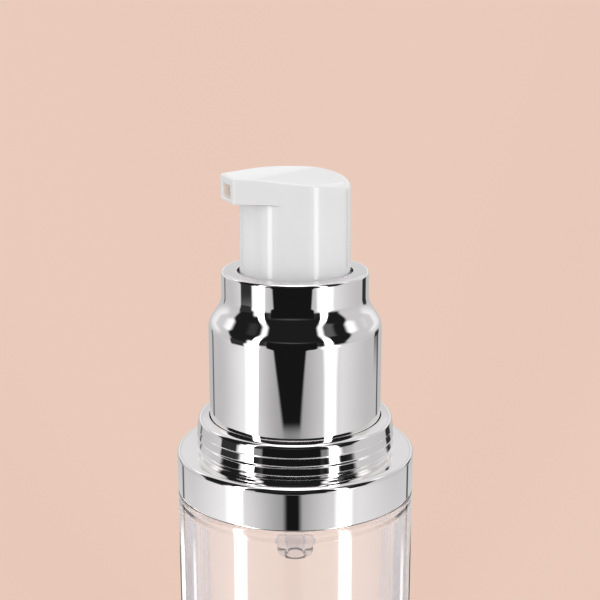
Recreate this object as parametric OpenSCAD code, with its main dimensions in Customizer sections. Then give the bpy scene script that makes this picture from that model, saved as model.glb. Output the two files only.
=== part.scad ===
// Airless pump bottle: a clear double-walled bottle whose follower piston rises
// as the pump in its neck draws the product out.
// Millimetres. The origin is the centre of the base, +Z is up and the spout points to -X.

/* [Clear bottle] */
// Outside diameter of the clear bottle and its plated shoulder ring
bottle_d = 37; // [35:0.5:42]
// Height of the clear wall, from the base to the shoulder ring
glass_h = 64; // [58:1:90]
// Wall of the outer bottle
outer_wall = 2.5; // [2:0.1:2.7]
// Thickness of the outer bottle's solid base
base_t = 4; // [3:0.5:6]
// Depth of the shallow recess under the base
recess_t = 0.6; // [0.3:0.1:1]
// Width of the foot ring left round that recess
foot_w = 3.5; // [2.5:0.5:5]
// Rounding of the base's outer edge
foot_round = 0.8; // [0.4:0.1:1.5]
// Rounding of the shelf edge that shows under the shoulder ring
rim_round = 0.4; // [0.2:0.1:0.8]
// Length of the narrower locating land below the shoulder ring
land_h = 1.4; // [0.8:0.1:3]
// Diameter of the air vent through the base
vent_d = 1.5; // [1:0.1:2.5]

/* [Inner bottle] */
// Air gap between the outer and the inner wall
liner_gap = 0.7; // [0.4:0.1:1]
// Wall of the inner bottle
liner_wall = 1.2; // [0.8:0.1:1.5]
// Thickness of the inner bottle's top flange
liner_flange_t = 1.3; // [1:0.1:1.8]
// Outside diameter of the threaded neck, without its thread
neck_d = 20; // [19:0.2:20.6]
// Wall of the neck
neck_wall = 1.6; // [1.2:0.1:1.7]
// Height of the neck above the shoulder ring's top face
neck_h = 14.8; // [13:0.2:15.4]
// Thickness of the base plug's disc
plug_t = 1.2; // [0.8:0.1:2]
// Length of the base plug's skirt inside the inner bottle
plug_skirt_h = 2; // [1.5:0.1:4]

/* [Thread] */
// Rise of the closure in one turn
pitch = 3; // [2.8:0.1:3.4]
// Turns of thread on the neck and in the closure
thread_turns = 1.5; // [1:0.25:1.75]
// Height of the thread's profile
thread_h = 0.8; // [0.5:0.05:0.9]
// Width of the thread at its root
thread_root_w = 1.6; // [1.2:0.1:1.7]
// Width of the thread at its crest
thread_crest_w = 0.8; // [0.5:0.1:1]
// Distance from the neck's rim down to the end of its thread
thread_drop = 2; // [1.6:0.1:2.4]

/* [Shoulder ring] */
// Height of the plated ring's outer face
ring_h = 7.2; // [6.5:0.1:9]
// Wall of the ring's skirt
ring_wall = 1.1; // [0.9:0.1:1.3]
// Thickness of the ring's top plate
ring_plate_t = 1.5; // [1.2:0.1:2]
// Rounding of the ring's top edge
ring_round = 0.75; // [0.3:0.05:1]
// Height of the ribbed cap seat above the plate
seat_h = 5.3; // [5:0.1:6.5]
// Wall of the cap seat at its smooth lip
seat_wall = 1.45; // [1.2:0.05:1.8]
// How far the two snap beads stand out from the lip
bead_out = 0.35; // [0.2:0.05:0.5]
// Half the height of a snap bead
bead_half = 0.6; // [0.4:0.05:0.7]
// Height of the lower bead's crest above the plate
bead_low = 1.6; // [1.2:0.1:1.8]
// Distance between the crests of the two beads
bead_step = 1.5; // [1.3:0.1:1.8]

/* [Collar] */
// Diameter of the plated collar's wide part
collar_d = 26.6; // [26:0.2:27.6]
// Height of the wide part's edge above the shoulder ring's top face
collar_h = 20.15; // [19.6:0.1:22]
// Height of the cone between the two diameters
cone_h = 3.05; // [2.4:0.1:4]
// Diameter of the collar's narrow part
collar_top_d = 22.5; // [22:0.1:23.4]
// Height of the collar's narrow part
collar_top_h = 5; // [4:0.1:7]
// Wall of the plated collar
shell_wall = 0.8; // [0.6:0.05:0.85]
// Rounding of the wide part's upper edge
collar_round = 0.9; // [0.4:0.1:1]
// Rounding of the narrow part's upper edge
mouth_round = 0.5; // [0.3:0.1:0.6]
// How far the collar's foot stands above the shoulder ring's plate
collar_foot = 1.1; // [0.6:0.1:2]
// How far the closure's foot stands above the shoulder ring's plate
closure_foot = 2.8; // [2.2:0.1:3.4]
// Thickness of the closure's top plate
closure_plate_t = 1.5; // [1.2:0.1:1.8]
// Wall of the closure's guide tower
tower_wall = 1.2; // [0.9:0.1:1.4]

/* [Actuator] */
// Diameter of the actuator's round body at the top
head_d = 16.7; // [16:0.1:17]
// How much wider the body's foot is
head_draft = 0.2; // [0.1:0.05:0.3]
// Height of the actuator's top above the collar's mouth
head_rise = 14.7; // [14.2:0.1:17]
// Radial gap between the actuator and the collar's mouth
head_gap = 0.38; // [0.25:0.01:0.45]
// Distance from the axis to the spout's tip
spout_reach = 10.7; // [10:0.1:13]
// Width of the spout's tip
spout_w = 6.2; // [5.6:0.1:7]
// Height of the spout
spout_h = 3.8; // [3.6:0.1:4.4]
// Rounding of the spout's two upright corners
spout_round = 0.45; // [0.2:0.05:0.8]
// Rounding of the top edge of the body
head_round = 0.8; // [0.4:0.1:1.2]
// How far the rear of the top drops below the spout
top_drop = 0.7; // [0.3:0.1:1]
// Wall of the actuator's skirt
head_wall = 1.1; // [0.9:0.1:1.4]
// Width of the outlet recess in the spout's tip
outlet_w = 3.8; // [3:0.1:4]
// Height of the outlet recess
outlet_h = 2; // [1.6:0.1:2.2]
// Depth of the outlet recess
outlet_depth = 3.2; // [2.8:0.1:3.6]
// Distance from the spout's underside to the outlet recess
outlet_sill = 0.5; // [0.4:0.05:0.7]
// Thickness of the outlet valve in the recess
valve_t = 1.5; // [1:0.1:2]
// Diameter of the channels inside the actuator
channel_d = 1.8; // [1.4:0.1:1.9]

/* [Pump] */
// Stroke of the actuator
stroke = 5.5; // [4.5:0.1:6]
// Bore of the pump chamber
pump_bore = 9.2; // [8.6:0.1:9.6]
// Wall of the pump housing
pump_wall = 1; // [0.8:0.1:1.3]
// Thickness of the housing's flange
flange_t = 1.4; // [1.1:0.1:1.6]
// Thickness of the housing gasket
gasket_t = 1; // [0.8:0.1:1.2]
// Length of the housing's sealing sleeve in the neck
sleeve_h = 3; // [2:0.1:5]
// Diameter of the stem
stem_d = 5.2; // [4.8:0.1:5.4]
// Bore of the stem
stem_bore = 2.6; // [2.4:0.05:2.7]
// Height of the pump piston
piston_h = 4.4; // [4:0.1:5]
// How deep the guide bush plugs into the housing
guide_plug_h = 3.1; // [2.5:0.1:3.6]
// Length of the stem above the spring cup
stem_tip_h = 4.4; // [4:0.1:5]
// Diameter of the valve ball at the inlet
inlet_ball_d = 3.5; // [3.2:0.1:3.7]
// Diameter of the valve ball at the outlet
outlet_ball_d = 3.2; // [3:0.1:3.4]
// How far each valve ball lifts off its seat
ball_lift = 0.8; // [0.5:0.1:1]
// How far the inlet nose reaches below the shoulder ring
nose_reach = 11.5; // [8:0.5:16]
// Diameter of the inlet nose at its end
nose_d = 5.2; // [4.8:0.1:5.6]
// Bore of the inlet nose
nose_bore = 2.5; // [2.2:0.1:2.7]

/* [Return spring] */
// Wire of the return spring
wire_d = 0.7; // [0.5:0.05:0.8]
// Mean diameter of the spring's curls
coil_d = 7.6; // [7.2:0.1:8]
// Number of curls
coil_n = 6; // [5:1:6]

/* [Follower piston] */
// Height of the follower piston
follower_h = 11; // [10:0.5:14]
// Depth of the well that takes the inlet nose at the end of the travel
well_depth = 7.4; // [6:0.1:8]
// Bore of that well
well_d = 7; // [6.4:0.1:8]

/* [Hidden] */
$fn = 96;
eps = 0.05;      // how far a cutter passes the face that it cuts
seat_gap = 0.05; // gap between two pieces that are pressed or clipped together
run_gap = 0.06;  // radial gap of a piece that slides in a bore
rest_gap = 0.1;  // gap between two faces that meet at the end of a travel
loose_gap = 0.3; // gap between faces that pass each other freely

// radii and heights of the bottle
outer_r = bottle_d / 2;
outer_in_r = outer_r - outer_wall;
liner_r = outer_in_r - liner_gap;
liner_in_r = liner_r - liner_wall;
ring_in_r = outer_r - ring_wall;
spigot_r = ring_in_r - rest_gap;
land_r = liner_r + 3 * seat_gap;
z_ring_top = glass_h + ring_h;
z_plate = z_ring_top - ring_plate_t;
z_flange_top = z_plate - rest_gap;
z_flange = z_flange_top - liner_flange_t;
z_liner = base_t + plug_t;
z_plug_top = z_liner + plug_skirt_h;
plug_skirt_w = 1.2;

// neck and thread
neck_r = neck_d / 2;
neck_in_r = neck_r - neck_wall;
crest_r = neck_r + thread_h;
thread_gap = 0.2;
closure_in_r = crest_r + thread_gap;
z_neck_top = z_ring_top + neck_h;
z_thread = z_neck_top - thread_drop - pitch * thread_turns;
steps_per_turn = 48;

// pump stack, from the neck's rim upwards
z_housing_flange = z_neck_top + gasket_t;
z_housing_top = z_housing_flange + flange_t;
z_closure_plate = z_housing_top + rest_gap;
z_closure_top = z_closure_plate + closure_plate_t;
z_guide_flange = z_closure_top + rest_gap;
guide_flange_t = 1;
z_guide_top = z_guide_flange + guide_flange_t;
pump_r = pump_bore / 2;
housing_r = pump_r + pump_wall;
housing_flange_r = crest_r - 2 * thread_gap;
guide_neck_r = housing_r + 1;
closure_hole_r = guide_neck_r + loose_gap;
guide_flange_r = guide_neck_r + 1;
stem_r = stem_d / 2;
stem_in_r = stem_bore / 2;
wiper_h = 1.5;
wiper_w = 1;

// pump stack, from the guide bush downwards
z_guide_plug = z_housing_top - guide_plug_h;
shoulder_t = 0.8;
shoulder_r = stem_r + 1;
z_shoulder = z_guide_plug - rest_gap - shoulder_t;
z_piston = z_shoulder - seat_gap - piston_h;
z_stem = z_piston;
rod_head_t = 1.1;
rod_head_r = stem_r + 0.6;
z_rod_head = z_stem - seat_gap - rod_head_t;
cage_t = 0.5;
z_cage_top = z_rod_head - stroke - loose_gap;
z_cage = z_cage_top - cage_t;
inlet_ball_r = inlet_ball_d / 2;
nose_in_r = nose_bore / 2;
z_inlet_ball = z_cage - seat_gap - ball_lift - inlet_ball_r;
z_inlet_seat = z_inlet_ball - sqrt(inlet_ball_r * inlet_ball_r - nose_in_r * nose_in_r) - seat_gap / 2;
cup_in_r = inlet_ball_r + 0.55;
cup_r = cup_in_r + 0.9;
valve_flange_t = 1;
valve_flange_r = pump_r - seat_gap;
z_valve_flange = z_inlet_seat - valve_flange_t;
z_floor_top = z_valve_flange - seat_gap;
floor_t = 1.3;
z_floor = z_floor_top - floor_t;
nose_top_r = nose_d / 2 + 0.35;
z_nose = glass_h - nose_reach;
floor_hole_r = nose_top_r + seat_gap;

// stem, spring and actuator, from the guide bush upwards
wire_r = wire_d / 2;
coil_r = coil_d / 2;
spring_pressed_h = coil_n * wire_d + 1.2;
z_spring = z_guide_top + seat_gap;
z_spring_top = z_spring + spring_pressed_h + stroke;
spring_cup_t = 1;
spring_cup_r = coil_r + wire_r + 0.5;
z_cup = z_spring_top + seat_gap;
z_cup_top = z_cup + spring_cup_t;
z_stem_top = z_cup_top + stem_tip_h;
outlet_ball_r = outlet_ball_d / 2;
z_outlet_ball = z_stem_top + sqrt(outlet_ball_r * outlet_ball_r - stem_in_r * stem_in_r) + seat_gap / 2;

collar_r = collar_d / 2;
collar_top_r = collar_top_d / 2;
z_collar_edge = z_ring_top + collar_h;
z_cone_top = z_collar_edge + cone_h;
z_mouth = z_cone_top + collar_top_h;
seat_in_r = collar_r + loose_gap;
seat_r = seat_in_r + seat_wall;
z_seat_top = z_ring_top + seat_h;
closure_r = collar_r - shell_wall - seat_gap;
tower_r = collar_top_r - shell_wall - rest_gap;
tower_in_r = tower_r - tower_wall;
z_tower_top = z_mouth - shell_wall - rest_gap;

head_r = head_d / 2;
head_foot_r = head_r + head_draft / 2;
mouth_r = head_foot_r + head_gap;
z_head_top = z_mouth + head_rise;
z_head_foot = z_guide_top + stroke + 0.4;
head_in_r = head_r - head_wall;
z_spout = z_head_top - spout_h;
z_outlet = z_spout + outlet_sill + outlet_h / 2;
channel_r = channel_d / 2;
core_in_r = stem_r + seat_gap;
core_wall = 1.5;
core_r = core_in_r + core_wall;
chamber_r = outlet_ball_r + 0.6;
z_chamber_top = z_outlet + channel_r + 0.2;
z_core = z_cup_top + rest_gap;
cavity_roof_t = 1.6;
z_cavity_top = z_spout - cavity_roof_t;
pin_r = 0.5;
top_pivot = head_r / 2;

// follower piston
follower_gap = 0.06;
z_follower = z_plug_top + rest_gap;
follower_r = liner_in_r - follower_gap;
follower_rim_h = 1.8;
follower_face = follower_h - follower_rim_h;
well_r = well_d / 2;

// points of an arc about [x, y], from angle a to angle b
function arc(x, y, r, a, b, n = 6) =
  [for (i = [0:n]) [x + r * cos(a + (b - a) * i / n), y + r * sin(a + (b - a) * i / n)]];

// a ring between two heights
module tube(r_out, r_in, z0, z1) {
  translate([0, 0, z0])
    difference() {
      cylinder(r = r_out, h = z1 - z0);
      translate([0, 0, -eps]) cylinder(r = r_in, h = z1 - z0 + 2 * eps);
    }
}

// a round bar between two heights
module bar(r, z0, z1) {
  translate([0, 0, z0]) cylinder(r = r, h = z1 - z0);
}

// one section of a thread: from its root inside the wall to its crest and back
function thread_section(r_wall, r_crest, r_sunk, i, n, z0) =
  let (a = 360 * thread_turns * i / n,
       z = z0 + pitch * thread_turns * i / n,
       run = 4,
       k = min(1, (i + 0.5) / run, (n - i + 0.5) / run),
       r = r_wall + (r_crest - r_wall) * k,
       w = thread_root_w + (thread_crest_w - thread_root_w) * k)
  [for (p = [[r_sunk, -thread_root_w / 2], [r, -w / 2], [r, w / 2], [r_sunk, thread_root_w / 2]])
    [p[0] * cos(a), p[0] * sin(a), z + p[1]]];

// faces of a swept form with m points in a section, from the first section to the last
function sweep_faces(n, m, flip) =
  let (quads = [for (i = [0:n - 2], j = [0:m - 1])
         [i * m + j, i * m + (j + 1) % m, (i + 1) * m + (j + 1) % m, (i + 1) * m + j]],
       tris = [for (q = quads) each [[q[0], q[1], q[2]], [q[0], q[2], q[3]]]],
       first = [for (j = [1:m - 2]) [0, j + 1, j]],
       last = [for (j = [1:m - 2]) [(n - 1) * m, (n - 1) * m + j, (n - 1) * m + j + 1]],
       all = concat(tris, first, last))
  flip ? [for (f = all) [f[2], f[1], f[0]]] : all;

// a thread that stands out of a wall, outwards or inwards
module thread(r_wall, r_crest, z0) {
  n = ceil(steps_per_turn * thread_turns);
  out = r_crest > r_wall;
  r_sunk = out ? r_wall - 0.4 : r_wall + 0.4;
  points = [for (i = [0:n]) each thread_section(r_wall, r_crest, r_sunk, i, n, z0)];
  polyhedron(points = points, faces = sweep_faces(n + 1, 4, !out), convexity = 6);
}

module outer_bottle() {
  color([0.95, 0.93, 0.92, 0.35])
    rotate_extrude()
      polygon(concat(
        [[vent_d / 2, recess_t], [outer_r - foot_w, recess_t], [outer_r - foot_w, 0]],
        arc(outer_r - foot_round, foot_round, foot_round, -90, 0),
        arc(outer_r - rim_round, glass_h - rim_round, rim_round, 0, 90),
        [[spigot_r, glass_h], [spigot_r, z_flange], [land_r, z_flange],
         [land_r, glass_h - land_h], [outer_in_r, glass_h - land_h],
         [outer_in_r, base_t], [vent_d / 2, base_t]]));
}

module inner_bottle() {
  color([0.95, 0.94, 0.93, 0.35])
    union() {
      tube(liner_r, liner_in_r, z_liner, z_flange + eps);
      tube(spigot_r, neck_in_r, z_flange, z_flange_top);
      tube(neck_r, neck_in_r, z_flange_top - eps, z_neck_top);
      thread(neck_r, crest_r, z_thread);
    }
}

module base_plug() {
  color([0.93, 0.93, 0.93])
    union() {
      tube(liner_r, vent_d / 2, base_t, z_liner);
      tube(liner_in_r - seat_gap, liner_in_r - seat_gap - plug_skirt_w, z_liner - eps, z_plug_top);
    }
}

// half a wave of the cap seat: one snap bead about the height z
function bead(z) =
  [for (i = [0:8]) let (a = -90 + 180 * i / 8)
    [seat_r + bead_out * cos(a) * cos(a), z + bead_half * sin(a)]];

module shoulder_ring() {
  lip_round = 0.3;
  color([0.82, 0.82, 0.83])
    rotate_extrude()
      polygon(concat(
        [[closure_in_r + rest_gap, z_plate], [ring_in_r, z_plate], [ring_in_r, glass_h], [outer_r, glass_h]],
        arc(outer_r - ring_round, z_ring_top - ring_round, ring_round, 0, 90),
        [[seat_r, z_ring_top]],
        bead(z_ring_top + bead_low),
        bead(z_ring_top + bead_low + bead_step),
        arc(seat_r - lip_round, z_seat_top - lip_round, lip_round, 0, 90),
        arc(seat_in_r + lip_round, z_seat_top - lip_round, lip_round, 90, 180),
        [[seat_in_r, z_ring_top], [closure_in_r + rest_gap, z_ring_top]]));
}

module follower_piston() {
  lip_t = 0.9;
  lip_slope = 1.2;
  wall_r = follower_r - 0.9;
  skin = 1;
  z_well = follower_face - well_depth;
  color([0.96, 0.96, 0.96])
    translate([0, 0, z_follower])
      rotate_extrude()
        polygon([
          [0, z_well - skin], [well_r + skin, z_well - skin], [well_r + skin, follower_face - skin],
          [wall_r - skin, follower_face - skin], [wall_r - skin, lip_slope], [wall_r, 0],
          [follower_r, 0], [follower_r, lip_t], [wall_r, lip_t + lip_slope],
          [wall_r, follower_h - lip_t - lip_slope], [follower_r, follower_h - lip_t],
          [follower_r, follower_h], [wall_r - skin, follower_h - lip_slope],
          [wall_r - skin - 1, follower_face], [well_r, follower_face],
          [well_r, z_well], [0, z_well]
        ]);
}

module pump_housing() {
  color([0.93, 0.93, 0.93])
    union() {
      tube(housing_r, pump_r, z_floor_top - eps, z_housing_top);
      tube(housing_r, floor_hole_r, z_floor, z_floor_top);
      tube(housing_flange_r, housing_r - eps, z_housing_flange, z_housing_top);
      tube(neck_in_r - run_gap, neck_in_r - run_gap - 1, z_housing_flange - sleeve_h, z_housing_flange + eps);
    }
}

module housing_gasket() {
  color([0.85, 0.85, 0.86])
    tube(housing_flange_r, neck_in_r + seat_gap, z_neck_top, z_housing_flange);
}

module guide_bush() {
  plug_r = pump_r - seat_gap;
  color([0.97, 0.97, 0.97])
    difference() {
      union() {
        bar(plug_r, z_guide_plug, z_housing_top + eps);
        bar(guide_neck_r, z_housing_top, z_guide_flange + eps);
        bar(guide_flange_r, z_guide_flange, z_guide_top);
      }
      bar(stem_r + run_gap, z_guide_plug - eps, z_guide_top + eps);
      bar(stem_r + wiper_w, z_guide_top - wiper_h, z_guide_top + eps);
    }
}

module stem_wiper() {
  color([0.8, 0.8, 0.82])
    tube(stem_r + wiper_w - seat_gap, stem_r + run_gap,
         z_guide_top - wiper_h + seat_gap, z_guide_top - seat_gap);
}

module inlet_valve_body() {
  color([0.92, 0.92, 0.93, 0.6])
    difference() {
      union() {
        translate([0, 0, z_nose])
          cylinder(r1 = nose_d / 2, r2 = nose_top_r, h = z_floor - z_nose);
        bar(nose_top_r, z_floor - eps, z_valve_flange + eps);
        bar(valve_flange_r, z_valve_flange, z_valve_flange + valve_flange_t);
        bar(cup_r, z_valve_flange, z_cage);
      }
      bar(nose_in_r, z_nose - eps, z_inlet_seat + eps);
      bar(cup_in_r, z_inlet_seat, z_cage + eps);
    }
}

module inlet_ball() {
  color([0.75, 0.76, 0.78])
    translate([0, 0, z_inlet_ball]) sphere(r = inlet_ball_r);
}

module ball_cage() {
  bars = 3;
  bar_w = 0.7;
  color([0.9, 0.9, 0.9])
    union() {
      tube(cup_r, cup_in_r, z_cage + seat_gap, z_cage_top);
      for (i = [0:bars - 1])
        rotate([0, 0, 360 * i / bars])
          translate([0, -bar_w / 2, z_cage + seat_gap])
            cube([cup_in_r + eps, bar_w, z_cage_top - z_cage - seat_gap]);
    }
}

// centre of the spring's wire at ring i of n
function coil_point(i, n) =
  let (a = 360 * coil_n * i / n)
  [coil_r * cos(a), coil_r * sin(a), z_spring + wire_r + (z_spring_top - z_spring - wire_d) * i / n];

// one ring of the spring's wire, square to the wire's own run
function coil_ring(i, n, sides) =
  let (a = 360 * coil_n * i / n,
       c = coil_point(i, n),
       lean = atan2(z_spring_top - z_spring - wire_d, 360 * coil_n * PI / 180 * coil_r))
  [for (j = [0:sides - 1]) let (b = 360 * j / sides, u = wire_r * cos(b), v = wire_r * sin(b))
    [c[0] + u * cos(a) + v * sin(a) * sin(lean),
     c[1] + u * sin(a) - v * cos(a) * sin(lean),
     c[2] + v * cos(lean)]];

module return_spring() {
  sides = 6;
  rings_per_curl = 8;
  n = coil_n * rings_per_curl;
  least = min([for (i = [0:n - rings_per_curl], j = [i + rings_per_curl / 2:n])
    norm(coil_point(i, n) - coil_point(j, n))]) - wire_d;
  echo("least gap between two curls of the spring", least);
  color([0.7, 0.71, 0.73])
    polyhedron(points = [for (i = [0:n]) each coil_ring(i, n, sides)],
               faces = sweep_faces(n + 1, sides, false), convexity = 10);
}

module closure() {
  z_foot = z_ring_top + closure_foot;
  color([0.96, 0.96, 0.96])
    union() {
      tube(closure_r, closure_in_r, z_foot, z_closure_plate + eps);
      tube(closure_r, closure_hole_r, z_closure_plate, z_closure_top);
      tube(tower_r, tower_in_r, z_closure_top - eps, z_tower_top);
      thread(closure_in_r, closure_in_r - thread_h, z_thread - pitch / 2);
    }
}

module collar_shell() {
  z_foot = z_ring_top + collar_foot;
  lean = atan2(collar_r - collar_top_r, cone_h);
  in_r = collar_r - shell_wall;
  top_in_r = collar_top_r - shell_wall;
  // the inner cone lies one wall inside the outer one
  sink = shell_wall * tan(lean / 2);
  color([0.82, 0.82, 0.83])
    rotate_extrude()
      polygon(concat(
        [[in_r, z_foot], [collar_r, z_foot]],
        arc(collar_r - collar_round, z_collar_edge - collar_round * tan(lean / 2), collar_round, 0, lean, 5),
        [[collar_top_r, z_cone_top]],
        arc(collar_top_r - mouth_round, z_mouth - mouth_round, mouth_round, 0, 90),
        [[mouth_r, z_mouth], [mouth_r, z_mouth - shell_wall],
         [top_in_r, z_mouth - shell_wall], [top_in_r, z_cone_top - sink],
         [in_r, z_collar_edge - sink]]));
}

module pump_piston() {
  hub_w = 0.9;
  lip_w = 0.6;
  z_web = z_piston + piston_h / 2 - 0.5;
  r = pump_r - run_gap;
  color([0.94, 0.94, 0.95])
    rotate_extrude()
      polygon([
        [stem_r + seat_gap / 2, z_piston], [stem_r + hub_w, z_piston], [stem_r + hub_w, z_web],
        [r - lip_w - 0.1, z_web], [r - lip_w, z_piston], [r, z_piston], [r, z_piston + 0.5],
        [r - 0.15, z_web], [r - 0.15, z_web + 1], [r, z_piston + piston_h - 0.5],
        [r, z_piston + piston_h], [r - lip_w, z_piston + piston_h], [r - lip_w - 0.1, z_web + 1],
        [stem_r + hub_w, z_web + 1], [stem_r + hub_w, z_piston + piston_h],
        [stem_r + seat_gap / 2, z_piston + piston_h]
      ]);
}

module piston_rod() {
  rod_in_r = stem_in_r - 0.5;
  color([0.97, 0.97, 0.97])
    difference() {
      union() {
        bar(rod_head_r, z_rod_head, z_rod_head + rod_head_t);
        bar(stem_in_r - seat_gap / 2, z_rod_head, z_shoulder);
      }
      bar(rod_in_r, z_rod_head - eps, z_shoulder + eps);
    }
}

module stem() {
  color([0.97, 0.97, 0.97])
    difference() {
      union() {
        bar(stem_r, z_stem, z_stem_top);
        bar(shoulder_r, z_shoulder, z_shoulder + shoulder_t);
      }
      bar(stem_in_r, z_stem - eps, z_stem_top + eps);
    }
}

module spring_cup() {
  rim_w = 0.4;
  color([0.95, 0.95, 0.95])
    union() {
      tube(spring_cup_r, stem_r + seat_gap / 2, z_cup, z_cup_top);
      tube(spring_cup_r, spring_cup_r - rim_w, z_cup - 0.8, z_cup + eps);
    }
}

module outlet_ball() {
  color([0.75, 0.76, 0.78])
    translate([0, 0, z_outlet_ball]) sphere(r = outlet_ball_r);
}

// corner of the spout's tip, and the bearing at which its side plane ends just inside the body
tip = [spout_reach, spout_w / 2];
root_r = head_r - 0.15;
tangent_a = atan2(tip[1], tip[0]) + acos(root_r / norm(tip));

// half of the spout's outline, from the round body to the middle of the tip
function half_spout() =
  let (c = [tip[0] - spout_round, tip[1] - spout_round * tan(tangent_a / 2)])
  concat([[root_r * cos(tangent_a), root_r * sin(tangent_a)]],
         arc(c[0], c[1], spout_round, tangent_a, 0, 5));

module spout_outline() {
  half = half_spout();
  other = [for (i = [len(half) - 1:-1:0]) [half[i][0], -half[i][1]]];
  mirror([1, 0]) polygon(concat(half, other));
}

// a slot-like hole with rounded corners that runs along X
module rounded_window(w, h, x0, x1) {
  r = 0.4;
  translate([x0, 0, z_outlet])
    rotate([90, 0, 90])
      linear_extrude(height = x1 - x0)
        polygon(concat(
          arc(w / 2 - r, h / 2 - r, r, 0, 90, 4), arc(-w / 2 + r, h / 2 - r, r, 90, 180, 4),
          arc(-w / 2 + r, -h / 2 + r, r, 180, 270, 4), arc(w / 2 - r, -h / 2 + r, r, 270, 360, 4)));
}

module actuator() {
  slope = atan2(top_drop, head_r + top_pivot);
  big = 2 * spout_reach;
  color([0.95, 0.95, 0.96])
    difference() {
      union() {
        difference() {
          union() {
            rotate_extrude()
              polygon(concat(
                [[0, z_head_foot], [head_foot_r, z_head_foot]],
                arc(head_r - head_round, z_head_top - head_round, head_round, 0, 90),
                [[0, z_head_top]]));
            translate([0, 0, z_spout])
              linear_extrude(height = spout_h) spout_outline();
          }
          bar(head_in_r, z_head_foot - eps, z_cavity_top);
          // the top falls gently towards the rear
          translate([-top_pivot, -big / 2, z_head_top])
            rotate([0, slope, 0]) cube(big);
        }
        bar(core_r, z_core, z_cavity_top + eps);
      }
      bar(core_in_r, z_core - eps, z_stem_top + rest_gap);
      difference() {
        bar(chamber_r, z_stem_top, z_chamber_top);
        bar(pin_r, z_outlet_ball + outlet_ball_r + ball_lift + seat_gap, z_chamber_top + eps);
      }
      translate([-spout_reach + outlet_depth - eps, 0, z_outlet])
        rotate([0, 90, 0]) cylinder(r = channel_r, h = spout_reach - outlet_depth - chamber_r / 2);
      rounded_window(outlet_w, outlet_h, -spout_reach - eps, -spout_reach + outlet_depth);
    }
}

module outlet_valve() {
  slit_w = 2.4;
  slit_h = 0.3;
  color([0.78, 0.74, 0.7])
    difference() {
      rounded_window(outlet_w - 2 * seat_gap, outlet_h - 2 * seat_gap,
                     -spout_reach + outlet_depth - valve_t, -spout_reach + outlet_depth - seat_gap);
      translate([-spout_reach, -slit_w / 2, z_outlet - slit_h / 2])
        cube([outlet_depth + eps, slit_w, slit_h]);
    }
}

outer_bottle();
inner_bottle();
base_plug();
shoulder_ring();
follower_piston();
pump_housing();
housing_gasket();
guide_bush();
stem_wiper();
inlet_valve_body();
inlet_ball();
ball_cage();
return_spring();
closure();
collar_shell();
pump_piston();
piston_rod();
stem();
spring_cup();
outlet_ball();
actuator();
outlet_valve();
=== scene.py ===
# %% [markdown]
# # An airless pump bottle
# The bottle is a small cosmetics dispenser. A clear outer bottle protects a clear inner bottle, plated
# rings hide the joints, and a white head presses a pump. Product is drawn up by a piston that rises from
# below, so no air gets in. The CAD model holds the sizes and the motion. This file adds the finish of
# every piece, and it turns the visible shells again with rounded edges, because light shows an edge only
# where it is rounded.

# %% Load the frame
import math
import bmesh
import bpy
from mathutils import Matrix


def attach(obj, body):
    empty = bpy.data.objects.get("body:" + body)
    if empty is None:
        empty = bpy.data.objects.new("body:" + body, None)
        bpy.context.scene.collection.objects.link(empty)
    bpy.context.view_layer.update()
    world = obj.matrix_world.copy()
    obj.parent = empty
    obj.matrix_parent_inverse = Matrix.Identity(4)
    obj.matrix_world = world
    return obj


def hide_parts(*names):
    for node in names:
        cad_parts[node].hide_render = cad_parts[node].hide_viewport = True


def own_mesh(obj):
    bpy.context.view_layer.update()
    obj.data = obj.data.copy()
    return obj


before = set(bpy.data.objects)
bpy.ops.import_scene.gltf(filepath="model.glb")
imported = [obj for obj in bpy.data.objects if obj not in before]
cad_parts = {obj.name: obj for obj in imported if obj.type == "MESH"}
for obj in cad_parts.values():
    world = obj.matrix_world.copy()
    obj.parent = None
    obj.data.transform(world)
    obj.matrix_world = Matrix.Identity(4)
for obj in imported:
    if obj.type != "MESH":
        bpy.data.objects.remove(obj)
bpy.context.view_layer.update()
MM = 0.001

# %% [markdown]
# ## A short way to build node trees
# Every finish and every rule-made shape below is a node tree. The class only saves typing: it adds a
# node, fills its inputs with numbers or links, and hands back an output.

# %% Node helper
class Net:
    def __init__(self, tree):
        self.tree = tree

    def add(self, kind, inputs=None, **settings):
        node = self.tree.nodes.new(kind)
        for name, value in settings.items():
            setattr(node, name, value)
        for key, value in (inputs or {}).items():
            self.put(node.inputs[key], value)
        return node

    def put(self, socket, value):
        if isinstance(value, bpy.types.NodeSocket):
            self.tree.links.new(value, socket)
        else:
            socket.default_value = value

    def math(self, operation, *values, clamp=False):
        kind = "ShaderNodeMath"
        node = self.add(kind, dict(enumerate(values)), operation=operation, use_clamp=clamp)
        return node.outputs[0]

    def mix(self, factor, a, b):
        node = self.add("ShaderNodeMix", {0: factor, 6: a, 7: b}, data_type="RGBA")
        return node.outputs[2]

    def ramp(self, value, low, high, a=0.0, b=1.0):
        node = self.add("ShaderNodeMapRange", {0: value, 1: low, 2: high, 3: a, 4: b},
                        interpolation_type="SMOOTHSTEP")
        return node.outputs[0]


def link(name, mesh):
    thing = bpy.data.objects.new(name, mesh)
    bpy.context.scene.collection.objects.link(thing)
    return thing


def group(name, kind, inputs, outputs):
    tree = bpy.data.node_groups.new(name, kind)
    for label, socket_kind, value in inputs:
        socket = tree.interface.new_socket(label, in_out="INPUT", socket_type=socket_kind)
        if value is not None:
            socket.default_value = value
    for label, socket_kind in outputs:
        tree.interface.new_socket(label, in_out="OUTPUT", socket_type=socket_kind)
    net = Net(tree)
    return tree, net, net.add("NodeGroupInput"), net.add("NodeGroupOutput")


# %% [markdown]
# ## Effects that several finishes share
# Moulded plastic takes the fine texture of its steel mould, and it sinks a little where the wall is
# thick. Handling leaves faint smears. Both are groups, so that each finish can use them at its own
# strength and its own real scale.

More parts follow.
